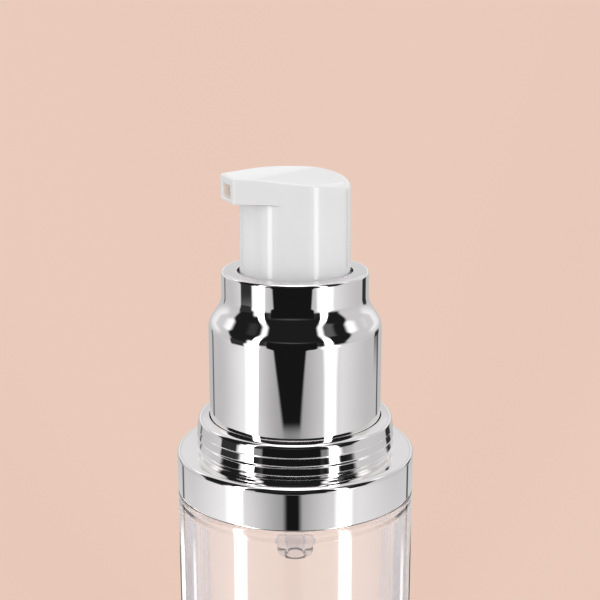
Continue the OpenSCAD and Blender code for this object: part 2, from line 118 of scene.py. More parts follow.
# %% Shader groups
def moulded_group():
    tree, net, inp, out = group("moulded_surface", "ShaderNodeTree", [
        ("Grain per metre", "NodeSocketFloat", 3000.0), ("Grain height", "NodeSocketFloat", 0.000002),
        ("Sink per metre", "NodeSocketFloat", 90.0), ("Sink height", "NodeSocketFloat", 0.00001)],
        [("Mask", "NodeSocketFloat"), ("Normal", "NodeSocketVector")])
    where = net.add("ShaderNodeTexCoord").outputs["Object"]
    grain = net.add("ShaderNodeTexNoise", {"Vector": where, "Scale": inp.outputs[0], "Detail": 3.0})
    sink = net.add("ShaderNodeTexNoise", {"Vector": where, "Scale": inp.outputs[2], "Detail": 1.0})
    fine = net.math("MULTIPLY", grain.outputs[0], inp.outputs[1])
    wide = net.math("MULTIPLY", sink.outputs[0], inp.outputs[3])
    height = net.math("ADD", fine, wide)
    bump = net.add("ShaderNodeBump", {"Height": height, "Strength": 1.0, "Distance": 1.0})
    net.put(out.inputs[0], sink.outputs[0])
    net.put(out.inputs[1], bump.outputs[0])
    return tree


def smear_group():
    tree, net, inp, out = group("handling_smears", "ShaderNodeTree", [
        ("Per metre", "NodeSocketFloat", 60.0), ("Amount", "NodeSocketFloat", 0.1)],
        [("Mask", "NodeSocketFloat")])
    where = net.add("ShaderNodeTexCoord").outputs["Object"]
    slow = net.add("ShaderNodeTexNoise", {"Vector": where, "Scale": inp.outputs[0], "Detail": 4.0,
                                          "Distortion": 0.6})
    mask = net.ramp(slow.outputs[0], 0.35, 0.75)
    net.put(out.inputs[0], net.math("MULTIPLY", mask, inp.outputs[1]))
    return tree


MOULDED = moulded_group()
SMEAR = smear_group()
print("shader groups", MOULDED.name, SMEAR.name)

# %% [markdown]
# ## Finishes
# Each finish is named after the material slot of the record. Two close colours are mixed by a slow noise,
# because no moulded or plated piece has one even colour. The outer bottle is acrylic, which bends light
# almost as glass does, and its coat adds the mirror image of the wall's second surface. The inner bottle
# bends light very little here, because the photograph hardly shows its wall. The plating is a thin metal
# layer on plastic, so it mirrors well and still shows the slight waves of the plastic below.

# %% Material maker
def finish(name, light, dark, rough, rough_more=0.05, metal=0.0, clear=0.0, ior=1.46, grain=(3000.0, 1e-6),
           sink=(90.0, 6e-6), smear=(60.0, 0.1), scatter=0.0, coat=0.0):
    material = bpy.data.materials.new(name)
    material.use_nodes = True
    net = Net(material.node_tree)
    shader = material.node_tree.nodes["Principled BSDF"]
    moulded = net.add("ShaderNodeGroup", node_tree=MOULDED)
    for index, value in enumerate((grain[0], grain[1], sink[0], sink[1])):
        moulded.inputs[index].default_value = value
    smears = net.add("ShaderNodeGroup", node_tree=SMEAR)
    smears.inputs[0].default_value = smear[0]
    smears.inputs[1].default_value = smear[1]
    colour = net.mix(net.ramp(moulded.outputs[0], 0.3, 0.7), (*dark, 1.0), (*light, 1.0))
    net.put(shader.inputs["Base Color"], colour)
    roughness = net.math("MULTIPLY_ADD", smears.outputs[0], rough_more * 10.0, rough, clamp=True)
    net.put(shader.inputs["Roughness"], roughness)
    net.put(shader.inputs["Normal"], moulded.outputs[1])
    shader.inputs["Metallic"].default_value = metal
    shader.inputs["Transmission Weight"].default_value = clear
    shader.inputs["IOR"].default_value = ior
    shader.inputs["Coat Weight"].default_value = coat
    if scatter:
        shader.inputs["Subsurface Weight"].default_value = scatter
        shader.inputs["Subsurface Radius"].default_value = (1.0, 0.95, 0.9)
        shader.inputs["Subsurface Scale"].default_value = 0.0006
    if clear > 0.9:
        path = net.add("ShaderNodeLightPath")
        passing = net.math("MAXIMUM", path.outputs["Is Shadow Ray"], path.outputs["Is Diffuse Ray"])
        through = net.add("ShaderNodeBsdfTransparent", {"Color": (0.93, 0.93, 0.93, 1.0)})
        both = net.add("ShaderNodeMixShader", {0: passing, 1: shader.outputs[0], 2: through.outputs[0]})
        output = material.node_tree.nodes["Material Output"]
        net.put(output.inputs["Surface"], both.outputs[0])
    return material


FINISH = {
    "clear_acrylic": finish("clear_acrylic", (1.0, 1.0, 1.0), (0.995, 0.995, 0.995), 0.0, 0.0, clear=1.0,
                            ior=1.49, grain=(3000.0, 0.0), sink=(60.0, 2e-7), smear=(60.0, 0.0), coat=1.0),
    "clear_liner": finish("clear_liner", (1.0, 1.0, 1.0), (0.995, 0.995, 0.995), 0.0, 0.0, clear=1.0,
                          ior=1.05, grain=(3000.0, 0.0), sink=(60.0, 2e-7), smear=(60.0, 0.0)),
    "natural_plastic": finish("natural_plastic", (0.93, 0.925, 0.92), (0.90, 0.895, 0.89), 0.25, clear=0.6),
    "nose_plastic": finish("nose_plastic", (0.965, 0.97, 0.995), (0.94, 0.945, 0.975), 0.08, 0.02, clear=0.92,
                           ior=1.24),
    "bright_plating": finish("bright_plating", (0.975, 0.955, 0.957), (0.955, 0.935, 0.937), 0.012, 0.01,
                             metal=1.0, grain=(2500.0, 0.0), sink=(150.0, 1.2e-6), smear=(80.0, 0.08)),
    "follower_plastic": finish("follower_plastic", (0.86, 0.86, 0.87), (0.82, 0.82, 0.83), 0.32),
    "inner_white": finish("inner_white", (0.84, 0.84, 0.84), (0.80, 0.80, 0.80), 0.35),
    "seal_rubber": finish("seal_rubber", (0.70, 0.69, 0.67), (0.62, 0.61, 0.59), 0.55, grain=(6000.0, 3e-6)),
    "steel": finish("steel", (0.74, 0.73, 0.72), (0.62, 0.61, 0.60), 0.2, 0.05, metal=1.0,
                    grain=(5000.0, 1e-6)),
    "head_white": finish("head_white", (0.805, 0.800, 0.812), (0.795, 0.790, 0.802), 0.06, 0.02, scatter=0.1,
                         grain=(2500.0, 1e-7), sink=(120.0, 1e-6), smear=(70.0, 0.1)),
    "outlet_beige": finish("outlet_beige", (0.84, 0.77, 0.71), (0.80, 0.73, 0.67), 0.45),
}
print("finishes", ", ".join(FINISH))

# %% [markdown]
# ## A turned form
# Rings, collars and bottles are shapes of revolution: their moulds are turned on a lathe. The node group
# takes a closed outline in millimetres as points, copies it round the axis, joins the seam and marks the
# sharp edges. A change of the outline or of the number of steps makes the whole shell again.

# %% Turned form
def turned_group():
    tree, net, inp, out = group("turned_form", "GeometryNodeTree", [
        ("Geometry", "NodeSocketGeometry", None), ("Steps", "NodeSocketInt", 192),
        ("Sharp angle", "NodeSocketFloat", 0.6), ("Material", "NodeSocketMaterial", None)],
        [("Geometry", "NodeSocketGeometry")])
    outline = inp.outputs["Geometry"]
    count = net.add("GeometryNodeAttributeDomainSize", {"Geometry": outline}).outputs["Point Count"]
    rows = net.math("ADD", inp.outputs["Steps"], 1.0)
    grid = net.add("GeometryNodeMeshGrid", {"Vertices X": rows, "Vertices Y": count}).outputs["Mesh"]
    index = net.add("GeometryNodeInputIndex").outputs[0]
    step = net.math("FLOOR", net.math("DIVIDE", net.math("ADD", index, 0.5), count))
    point = net.math("SUBTRACT", index, net.math("MULTIPLY", step, count))
    place = net.add("GeometryNodeInputPosition").outputs[0]
    sample = net.add("GeometryNodeSampleIndex", data_type="FLOAT_VECTOR", domain="POINT")
    net.put(sample.inputs["Geometry"], outline)
    net.put(sample.inputs["Value"], place)
    net.put(sample.inputs["Index"], point)
    turn = net.math("MULTIPLY", net.math("DIVIDE", step, inp.outputs["Steps"]), math.tau)
    spun = net.add("ShaderNodeVectorRotate", {"Vector": sample.outputs[0], "Angle": turn},
                   rotation_type="Z_AXIS")
    moved = net.add("GeometryNodeSetPosition", {"Geometry": grid, "Position": spun.outputs[0]})
    joined = net.add("GeometryNodeMergeByDistance", {"Geometry": moved.outputs[0], "Distance": 0.000002})
    smooth = net.add("GeometryNodeSetShadeSmooth", {"Geometry": joined.outputs[0]}, domain="FACE")
    angle = net.add("GeometryNodeInputMeshEdgeAngle").outputs["Unsigned Angle"]
    sharp = net.add("FunctionNodeCompare", {0: angle, 1: inp.outputs["Sharp angle"]}, operation="LESS_THAN")
    edges = net.add("GeometryNodeSetShadeSmooth", {"Geometry": smooth.outputs[0],
                                                   "Shade Smooth": sharp.outputs[0]}, domain="EDGE")
    real = net.add("GeometryNodeRealizeInstances", {"Geometry": edges.outputs[0]})
    painted = net.add("GeometryNodeSetMaterial", {"Geometry": real.outputs[0],
                                                  "Material": inp.outputs["Material"]})
    net.put(out.inputs[0], painted.outputs[0])
    return tree


def to_mesh(carrier, name):
    depsgraph = bpy.context.evaluated_depsgraph_get()
    mesh = bpy.data.meshes.new_from_object(carrier.evaluated_get(depsgraph), depsgraph=depsgraph)
    mesh.name = name
    bpy.data.objects.remove(carrier)
    return link(name, mesh)


def run_nodes(name, tree, points, values):
    carrier_mesh = bpy.data.meshes.new(name + "_rule")
    carrier_mesh.from_pydata(points, [], [])
    carrier = link(name + "_rule", carrier_mesh)
    modifier = carrier.modifiers.new("rule", "NODES")
    modifier.node_group = tree
    for item in tree.interface.items_tree:
        if item.in_out == "INPUT" and item.name in values:
            modifier[item.identifier] = values[item.name]
    return to_mesh(carrier, name)


def rounded(corners, steps=7):
    """Corners are (x, z, radius). Each is rounded, with a support point just past both ends of its round."""
    points = []
    for i, (x, z, radius) in enumerate(corners):
        if not radius:
            points.append((x, z))
            continue
        before = corners[i - 1]
        after = corners[(i + 1) % len(corners)]
        u = (before[0] - x, before[1] - z)
        v = (after[0] - x, after[1] - z)
        lu = math.hypot(*u)
        lv = math.hypot(*v)
        u = (u[0] / lu, u[1] / lu)
        v = (v[0] / lv, v[1] / lv)
        half = math.acos(max(-1.0, min(1.0, u[0] * v[0] + u[1] * v[1]))) / 2
        reach = radius / math.tan(half)
        middle = math.hypot(u[0] + v[0], u[1] + v[1])
        cx = x + (u[0] + v[0]) / middle * radius / math.sin(half)
        cz = z + (u[1] + v[1]) / middle * radius / math.sin(half)
        a = math.atan2(z + u[1] * reach - cz, x + u[0] * reach - cx)
        b = math.atan2(z + v[1] * reach - cz, x + v[0] * reach - cx)
        sweep = (b - a + math.pi) % math.tau - math.pi
        past = min(0.15, 0.25 * radius)
        if reach + past < 0.5 * lu:
            points.append((x + u[0] * (reach + past), z + u[1] * (reach + past)))
        for k in range(steps + 1):
            t = a + sweep * k / steps
            points.append((cx + radius * math.cos(t), cz + radius * math.sin(t)))
        if reach + past < 0.5 * lv:
            points.append((x + v[0] * (reach + past), z + v[1] * (reach + past)))
    return points


TURNED = turned_group()
SHARP_ANGLE = 0.5


def turned(name, outline, material, steps=192):
    area = sum(a[0] * b[1] - b[0] * a[1] for a, b in zip(outline, outline[1:] + outline[:1]))
    if area < 0:
        outline = outline[::-1]
    points = [(x * MM, 0.0, z * MM) for x, z in outline + outline[:1]]
    values = {"Steps": steps, "Sharp angle": SHARP_ANGLE, "Material": FINISH[material]}
    piece = run_nodes(name, TURNED, points, values)
    print(name, len(piece.data.polygons), "faces")
    return piece


# %% [markdown]
# ## The two clear bottles
# The outer bottle is a thick acrylic cup, injection moulded, with a step at the rim that carries the
# shoulder ring. It bends the light so that its outer millimetres look solid. Its sharp corners are
# softened, because a mould can't fill or release a true corner.

# %% Outer bottle
BOTTLE_R = 18.5
WALL_BORE = 16.0
FOOT_RING_BORE = 15.0
VENT_R = 0.75
BASE_Z = 0.6
FLOOR_Z = 4.0
RIM_Z = 64.58
STEP_R = 17.3
STEP_Z = 68.3
LEDGE_BORE = 15.45
SLANT_LOW_Z = 61.9
SLANT_HIGH_Z = 62.7
outer = rounded([
    (VENT_R, BASE_Z, 0.1), (FOOT_RING_BORE, BASE_Z, 0.25), (FOOT_RING_BORE, 0.0, 0.25),
    (BOTTLE_R, 0.0, 0.8), (BOTTLE_R, RIM_Z, 0.5), (STEP_R, RIM_Z, 0.15), (STEP_R, STEP_Z, 0.15),
    (LEDGE_BORE, STEP_Z, 0.15), (LEDGE_BORE, SLANT_HIGH_Z, 0.4), (WALL_BORE, SLANT_LOW_Z, 0.4),
    (WALL_BORE, FLOOR_Z, 0.5), (VENT_R, FLOOR_Z, 0.1)], steps=5)
outer_bottle = turned("outer_bottle_wall", outer, "clear_acrylic", 512)
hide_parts("outer_bottle")
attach(outer_bottle, "bottle")

# %% [markdown]
# The inner bottle holds the product. Its flange rests on the step of the outer bottle, and its neck
# carries the thread for the pump. It is turned in one outline, and the thread is swept round the neck as
# a ridge whose ends run out over a few degrees, so that the closure finds its start.

# %% Inner bottle
LINER_R = 15.3
LINER_BORE = 14.1
LINER_FOOT_Z = 5.2
FLANGE_Z = 69.6
NECK_R = 10.0
NECK_BORE = 8.4
NECK_Z = 86.0
inner = rounded([
    (LINER_BORE, LINER_FOOT_Z, 0.1), (LINER_R, LINER_FOOT_Z, 0.3), (LINER_R, STEP_Z, 0.15),
    (STEP_R, STEP_Z, 0.15), (STEP_R, FLANGE_Z, 0.15), (NECK_R, FLANGE_Z, 0.3), (NECK_R, NECK_Z, 0.2),
    (NECK_BORE, NECK_Z, 0.2), (NECK_BORE, STEP_Z, 0.3), (LINER_BORE, STEP_Z, 0.3)], steps=5)
inner_bottle = turned("inner_bottle_wall", inner, "clear_liner", 512)
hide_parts("inner_bottle")
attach(inner_bottle, "bottle")


THREAD_STEPS_A_TURN = 72
THREAD_RUN_OUT = 6
THREAD_SUNK = 0.4


def thread_mesh(turns, pitch, z_start, wall, crest, root_w, crest_w):
    steps = int(THREAD_STEPS_A_TURN * turns)
    body = bmesh.new()
    rows = []
    for i in range(steps + 1):
        angle = math.tau * turns * i / steps
        z = z_start + pitch * turns * i / steps
        k = min(1.0, (i + 0.5) / THREAD_RUN_OUT, (steps - i + 0.5) / THREAD_RUN_OUT)
        r = wall + (crest - wall) * k
        w = root_w + (crest_w - root_w) * k
        section = ((wall - THREAD_SUNK, -root_w / 2), (wall, -root_w / 2), (r, -w / 2),
                   (r, w / 2), (wall, root_w / 2), (wall - THREAD_SUNK, root_w / 2))
        rows.append([body.verts.new((s * math.cos(angle) * MM, s * math.sin(angle) * MM, (z + h) * MM))
                     for s, h in section])
    for low, high in zip(rows, rows[1:]):
        for j in range(len(low)):
            k = (j + 1) % len(low)
            body.faces.new((low[j], high[j], high[k], low[k]))
    body.faces.new(rows[0])
    body.faces.new(rows[-1][::-1])
    bmesh.ops.recalc_face_normals(body, faces=body.faces)
    mesh = bpy.data.meshes.new("thread")
    body.to_mesh(mesh)
    body.free()
    return mesh


thread = link("inner_bottle_thread", thread_mesh(
    turns=1.5, pitch=3.0, z_start=79.5, wall=NECK_R, crest=10.8, root_w=1.6, crest_w=0.8))
thread.data.materials.append(FINISH["clear_liner"])
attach(thread, "bottle")

# %% [markdown]
# ## The inlet nose
# The nose hangs from the pump into the product and is the only part of the pump seen through the walls.
# It is moulded in natural plastic, which lets light through but scatters some of it.

# %% Inlet nose
NOSE_BORE = 1.25
NOSE_TIP_R = 2.88
NOSE_TIP_Z = 53.0
NOSE_R = 2.95
NOSE_STRAIGHT_Z = 66.3
NOSE_FLANGE_R = 4.5
NOSE_FLANGE_LOW_Z = 67.65
NOSE_FLANGE_HIGH_Z = 68.65
SPIGOT_R = 3.2
SPIGOT_BORE = 2.3
SPIGOT_Z = 72.5
BALL_SEAT_Z = 68.67
nose = rounded([
    (NOSE_BORE, NOSE_TIP_Z, 0.3), (NOSE_TIP_R, NOSE_TIP_Z, 0.6), (NOSE_R, NOSE_STRAIGHT_Z, 0.2),
    (NOSE_R, NOSE_FLANGE_LOW_Z, 0.2), (NOSE_FLANGE_R, NOSE_FLANGE_LOW_Z, 0.15),
    (NOSE_FLANGE_R, NOSE_FLANGE_HIGH_Z, 0.15), (SPIGOT_R, NOSE_FLANGE_HIGH_Z, 0.15), (SPIGOT_R, SPIGOT_Z, 0.2),
    (SPIGOT_BORE, SPIGOT_Z, 0.2), (SPIGOT_BORE, BALL_SEAT_Z, 0.3), (NOSE_BORE, BALL_SEAT_Z, 0.2)])
inlet_nose = turned("inlet_nose", nose, "nose_plastic", 96)
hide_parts("inlet_valve_body")
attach(inlet_nose, "pump")

# %% [markdown]
# ## The plated shoulder ring
# The ring snaps over the step of the outer bottle and hides the joint. Above it stands the seat for the
# overcap, with low barbed beads that the cap clicks over: a gentle ramp above and a steep step below. It
# is moulded in one piece and plated bright, so every round shows as a line of light.

# %% Shoulder ring
RING_EYE_R = 11.1
RING_UNDER_Z = 69.7
SKIRT_BORE = 17.4
SKIRT_FOOT_Z = 64.6
RING_Z = 71.2
BEAD_R = 15.38
TOP_BEAD_R = 15.3
BEAD_CRESTS_Z = (71.95, 73.4, 74.66)
SEAT_TOP_Z = 76.5
SEAT_LIP_R = 13.42
SEAT_BORE = 13.6
ring = rounded([
    (RING_EYE_R, RING_UNDER_Z, 0.1), (SKIRT_BORE, RING_UNDER_Z, 0.1), (SKIRT_BORE, SKIRT_FOOT_Z, 0.1),
    (BOTTLE_R, SKIRT_FOOT_Z, 0.3), (BOTTLE_R, RING_Z, 0.75), (15.12, RING_Z, 0.1), (15.06, 71.55, 0.1),
    (BEAD_R, BEAD_CRESTS_Z[0], 0.2), (15.05, 72.95, 0.25), (BEAD_R, BEAD_CRESTS_Z[1], 0.2),
    (15.13, 74.5, 0.1), (TOP_BEAD_R, BEAD_CRESTS_Z[2], 0.1), (14.98, SEAT_TOP_Z, 0.8),
    (SEAT_LIP_R, SEAT_TOP_Z, 0.12), (SEAT_LIP_R, 76.0, 0.1), (SEAT_BORE, 75.6, 0.1),
    (SEAT_BORE, RING_Z, 0.1), (RING_EYE_R, RING_Z, 0.1)])
shoulder_ring = turned("shoulder_ring_plated", ring, "bright_plating", 256)
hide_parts("shoulder_ring")
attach(shoulder_ring, "bottle")

# %% [markdown]
# ## The plated collar
# The collar is a decorative shell over the threaded closure: a straight wall, a cone and a narrow mouth
# that guides the head. Wide rounds join the cone to both walls, and they bend the mirrored strips into
# soft curves.

# %% Collar shell
COLLAR_R = 13.3
TOWER_R = 11.25
GUIDE_R = 8.83
COLLAR_WALL = 0.8
COLLAR_FOOT_Z = 72.3
CONE_LOW_Z = 91.35
CONE_HIGH_Z = 94.4
COLLAR_TOP_Z = 99.4
collar_bore = COLLAR_R - COLLAR_WALL
tower_bore = TOWER_R - COLLAR_WALL
lip_z = COLLAR_TOP_Z - COLLAR_WALL
lean = math.atan2(COLLAR_R - TOWER_R, CONE_HIGH_Z - CONE_LOW_Z)
sink_in = COLLAR_WALL * math.tan(lean / 2)
collar = rounded([
    (collar_bore, COLLAR_FOOT_Z, 0.1), (COLLAR_R, COLLAR_FOOT_Z, 0.15), (COLLAR_R, CONE_LOW_Z, 3.2),
    (TOWER_R, CONE_HIGH_Z, 4.2), (TOWER_R, COLLAR_TOP_Z, 0.5), (GUIDE_R, COLLAR_TOP_Z, 0.25),
    (GUIDE_R, lip_z, 0.1), (tower_bore, lip_z, 0.1), (tower_bore, CONE_HIGH_Z - sink_in, 0.2),
    (collar_bore, CONE_LOW_Z - sink_in, 0.4)], steps=9)
collar_shell = turned("collar_shell_plated", collar, "bright_plating", 256)
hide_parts("collar_shell")
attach(collar_shell, "collar")

# %% [markdown]
# ## The head
# The head is one white moulding. Its spout grows out of the round body with flat sides that touch the
# body smoothly, and the round of the top edge widens from the spout to the rear. It is built as loops
# from the foot to the top, then the cavity, the outlet channel and the mouth are cut out of it.

# %% Head
HEAD_R = 8.35
FOOT_R = 8.45
TIP_X = -10.7
HALF_W = 3.1
CORNER = 0.45
Z_FOOT = 97.0
Z_SPOUT = 110.3
Z_TOP = 114.1


def head_outline():
    """Points (x, y) of the head seen from above, the angle at which the spout's side touches the body,
    and how many points lie on one half of the spout."""
    far = math.hypot(TIP_X, HALF_W)
    touch = math.atan2(HALF_W, TIP_X) - math.acos(HEAD_R / far)
    tx = HEAD_R * math.cos(touch)
    ty = HEAD_R * math.sin(touch)
    ux = tx - TIP_X
    uy = ty - HALF_W
    side = math.hypot(ux, uy)
    ux, uy = ux / side, uy / side
    half = (math.pi / 2 + math.atan2(uy, ux)) / 2
    reach = CORNER / math.tan(half)
    cx = TIP_X + CORNER
    cy = HALF_W - reach
    half_list = [(TIP_X, cy * k / 4) for k in range(4)]
    first = math.pi
    last = math.atan2(uy, ux) + math.pi / 2
    half_list += [(cx + CORNER * math.cos(first + (last - first) * k / 7),
                   cy + CORNER * math.sin(first + (last - first) * k / 7)) for k in range(8)]
    sx, sy = half_list[-1]
    half_list += [(sx + (tx - sx) * k / 12, sy + (ty - sy) * k / 12) for k in range(1, 12)]
    body_turns = [touch * (1 - k / 44) for k in range(45)]
    body = [(HEAD_R * math.cos(a), HEAD_R * math.sin(a)) for a in body_turns]
    half_list += body
    other = [(x, -y) for x, y in half_list[1:-1]][::-1]
    return half_list + other, touch, len(half_list) - len(body)


outline, touch, spout_count = head_outline()
total = len(outline)


def normal_in(i):
    before = outline[i - 1]
    after = outline[(i + 1) % total]
    x = after[1] - before[1]
    y = before[0] - after[0]
    length = math.hypot(x, y)
    sign = -1.0 if x * outline[i][0] + y * outline[i][1] > 0 else 1.0
    return (sign * x / length, sign * y / length)


def on_circle(i):
    """The point of the body's circle that belongs to outline point i."""
    k = i if i <= total // 2 else i - total
    if abs(k) < spout_count:
        a = math.pi - (math.pi - touch) * abs(k) / spout_count
        return (math.cos(a), math.sin(a) * (1 if k >= 0 else -1))
    x, y = outline[i]
    return (x / math.hypot(x, y), y / math.hypot(x, y))


CREASE_AT = (-7.25, -4.54)
CREASE_ACROSS = (0.593, -0.806)
CREASE_SOFT = 0.7
TOP_SLOPE = 0.107


def top_height(x, y):
    """Level round the spout, then a plane that falls to the rear from a soft slanting crease."""
    past = ((x - CREASE_AT[0]) * CREASE_ACROSS[0] + (y - CREASE_AT[1]) * CREASE_ACROSS[1]) / CREASE_SOFT
    return Z_TOP - TOP_SLOPE * CREASE_SOFT * (math.log1p(math.exp(-abs(past))) + max(past, 0.0))


EDGE_AT_SPOUT = 0.28
EDGE_MORE_BEHIND = 1.25


def top_round(x, y):
    """The round of the top edge: small at the spout, wide at the rear."""
    turn = math.degrees(math.atan2(y, x))
    near = (turn + 105) / 100 if turn < 0 else (150 - turn) / 140
    near = max(0.0, min(1.0, near))
    return EDGE_AT_SPOUT + EDGE_MORE_BEHIND * near * near * (3 - 2 * near)


def head_mesh():
    body = bmesh.new()
    loops = []

    def loop(points):
        loops.append([body.verts.new([c * MM for c in p]) for p in points])

    circle = [on_circle(i) for i in range(total)]
    foot_rows = ((FOOT_R - 0.9, Z_FOOT), (FOOT_R - 0.3, Z_FOOT), (FOOT_R - 0.2, Z_FOOT),
                 (FOOT_R - 0.06, Z_FOOT + 0.06), (FOOT_R, Z_FOOT + 0.2), (FOOT_R, Z_FOOT + 0.3))
    for r, z in foot_rows:
        loop([(c[0] * r, c[1] * r, z) for c in circle])
    for k in range(1, 9):
        t = k / 8
        r = FOOT_R + (HEAD_R - FOOT_R) * t
        z = Z_FOOT + 0.3 + (Z_SPOUT - 0.3 - Z_FOOT - 0.3) * t
        loop([(c[0] * r, c[1] * r, z) for c in circle])

    def blend(t, z_out):
        """The spout's underside: t runs from the body's circle (0) to the outline (1)."""
        row = []
        for i in range(total):
            cx, cy = circle[i][0] * HEAD_R, circle[i][1] * HEAD_R
            ox, oy = outline[i]
            row.append((cx + (ox - cx) * t, cy + (oy - cy) * t, z_out))
        return row

    loop(blend(0.0, Z_SPOUT - 0.1))
    loop(blend(0.03, Z_SPOUT - 0.02))
    loop(blend(0.08, Z_SPOUT))
    for t in (0.35, 0.65, 0.88):
        loop(blend(t, Z_SPOUT))
    inward = [normal_in(i) for i in range(total)]

    def inset(depths, heights):
        loop([(outline[i][0] + inward[i][0] * depths[i], outline[i][1] + inward[i][1] * depths[i], heights[i])
              for i in range(total)])

    foot = 0.15
    for a in range(0, 5):
        t = math.radians(90 * a / 4)
        shrink = [foot * (1 - math.sin(t)) * min(1.0, math.dist(outline[i], (circle[i][0] * HEAD_R,
                  circle[i][1] * HEAD_R))) for i in range(total)]
        inset(shrink, [Z_SPOUT + foot * (1 - math.cos(t))] * total)
    inset([0.0] * total, [Z_SPOUT + foot + 0.1] * total)
    rim = [top_height(*outline[i]) for i in range(total)]
    curve = [top_round(*outline[i]) for i in range(total)]
    for t in (0.4, 0.8, 1.0):
        inset([0.0] * total, [Z_SPOUT + foot + 0.1 + (rim[i] - curve[i] - 0.06 - Z_SPOUT - foot - 0.1) * t
                              for i in range(total)])
    steps = 9
    for k in range(steps + 1):
        a = math.radians(90 * k / steps)
        depths = [curve[i] * (1 - math.cos(a)) for i in range(total)]
        tops = [top_height(outline[i][0] + inward[i][0] * depths[i], outline[i][1] + inward[i][1] * depths[i])
                for i in range(total)]
        inset(depths, [tops[i] - curve[i] * (1 - math.sin(a)) for i in range(total)])
    last = [(v.co.x / MM, v.co.y / MM) for v in loops[-1]]
    for share in (0.98, 0.94, 0.88, 0.8, 0.7, 0.6, 0.5, 0.4, 0.3, 0.2, 0.1):
        row = []
        for x, y in last:
            px = (x + 1.0) * share - 1.0
            row.append((px, y * share, top_height(px, y * share)))
        loop(row)
    for low, high in zip(loops, loops[1:]):
        for i in range(total):
            j = (i + 1) % total
            body.faces.new((low[i], low[j], high[j], high[i]))
    body.faces.new(loops[0][::-1])
    body.faces.new(loops[-1])
    bmesh.ops.remove_doubles(body, verts=body.verts, dist=0.000004)
    bmesh.ops.dissolve_degenerate(body, edges=body.edges, dist=0.000002)
    bmesh.ops.recalc_face_normals(body, faces=body.faces)
    if body.calc_volume(signed=True) < 0:
        bmesh.ops.reverse_faces(body, faces=body.faces)
    mesh = bpy.data.meshes.new("head_body")
    body.to_mesh(mesh)
    body.free()
    return mesh


def window_mesh(width, height, z_middle, rows):
    """A rounded window as a closed solid along X. Rows are (x, growth on each side)."""
    body = bmesh.new()
    loops = []
    for x, grow in rows:
        w = width / 2 + grow
        h = height / 2 + grow
        r = 0.4 + grow
        points = []
        for corner, (sy, sz) in enumerate(((1, 1), (-1, 1), (-1, -1), (1, -1))):
            for k in range(7):
                a = math.radians(90 * corner + 15 * k)
                points.append((x, sy * (w - r) + r * math.cos(a), z_middle + sz * (h - r) + r * math.sin(a)))
        loops.append([body.verts.new([c * MM for c in p]) for p in points])
    for low, high in zip(loops, loops[1:]):
        for i in range(len(low)):
            j = (i + 1) % len(low)
            body.faces.new((low[i], low[j], high[j], high[i]))
    body.faces.new(loops[0][::-1])
    body.faces.new(loops[-1])
    bmesh.ops.recalc_face_normals(body, faces=body.faces)
    mesh = bpy.data.meshes.new("window")
    body.to_mesh(mesh)
    body.free()
    return mesh


def cut(thing, cutter):
    modifier = thing.modifiers.new("cut", "BOOLEAN")
    modifier.operation = "DIFFERENCE"
    modifier.solver = "EXACT"
    modifier.object = cutter
    whole = to_mesh(thing, thing.name)
    bpy.data.objects.remove(cutter)
    return whole


head = link("head_shell", head_mesh())
CAVITY_R = 7.25
CAVITY_SLANT = 0.2
ROOF_Z = 108.7
HUB_R = 4.15
HUB_FOOT_Z = 103.2
SOCKET_R = 2.65
SOCKET_Z = 107.8
WELL_R = 2.2
WELL_Z = 112.9
cavity = [(0.0, Z_FOOT - 1.0), (CAVITY_R, Z_FOOT - 1.0), (CAVITY_R, ROOF_Z - CAVITY_SLANT),
          (CAVITY_R - CAVITY_SLANT, ROOF_Z), (HUB_R, ROOF_Z), (HUB_R, HUB_FOOT_Z), (SOCKET_R, HUB_FOOT_Z),
          (SOCKET_R, SOCKET_Z), (WELL_R, SOCKET_Z), (WELL_R, WELL_Z), (0.0, WELL_Z)]
head = cut(head, turned("head_cavity", cavity, "head_white", 96))
MOUTH_W = 3.7
MOUTH_H = 2.05
MOUTH_Z = 111.9
MOUTH_ROUND = 0.1
CHANNEL_X = -7.6
CHANNEL_Z = 111.8
CHANNEL_R = 0.9
CHANNEL_LONG = 6.6
flare = [(TIP_X - 0.3, MOUTH_ROUND)]
for degrees in (0, 22.5, 45, 67.5, 90):
    a = math.radians(degrees)
    flare.append((TIP_X + MOUTH_ROUND * (1 - math.cos(a)), MOUTH_ROUND * (1 - math.sin(a))))
flare.append((TIP_X + 3.2, 0.0))
head = cut(head, link("mouth_cut", window_mesh(MOUTH_W, MOUTH_H, MOUTH_Z, flare)))
channel_side = [(0.0, 0.0), (CHANNEL_R, 0.0), (CHANNEL_R, CHANNEL_LONG), (0.0, CHANNEL_LONG)]
channel = turned("channel_cut", channel_side, "head_white", 48)
for vertex in channel.data.vertices:
    x, y, z = vertex.co
    vertex.co = (CHANNEL_X * MM + z, y, CHANNEL_Z * MM - x)
channel.data.update()
head = cut(head, channel)


def dress_cut(piece, slot_name):
    """A cut leaves the cutter's finish and flat faces behind, so both are set again."""
    mesh = piece.data
    mesh.materials.clear()
    mesh.materials.append(FINISH[slot_name])
    for polygon in mesh.polygons:
        polygon.material_index = 0
        polygon.use_smooth = True
    mesh.set_sharp_from_angle(angle=math.radians(28))


dress_cut(head, "head_white")
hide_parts("actuator")
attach(head, "head")
print("head", len(head.data.polygons), "faces")

# %% [markdown]
# ## The outlet valve
# A soft beige insert lines the square mouth. Its slit opens when product is pushed through and shuts
# again, which keeps air away from what is left in the head.

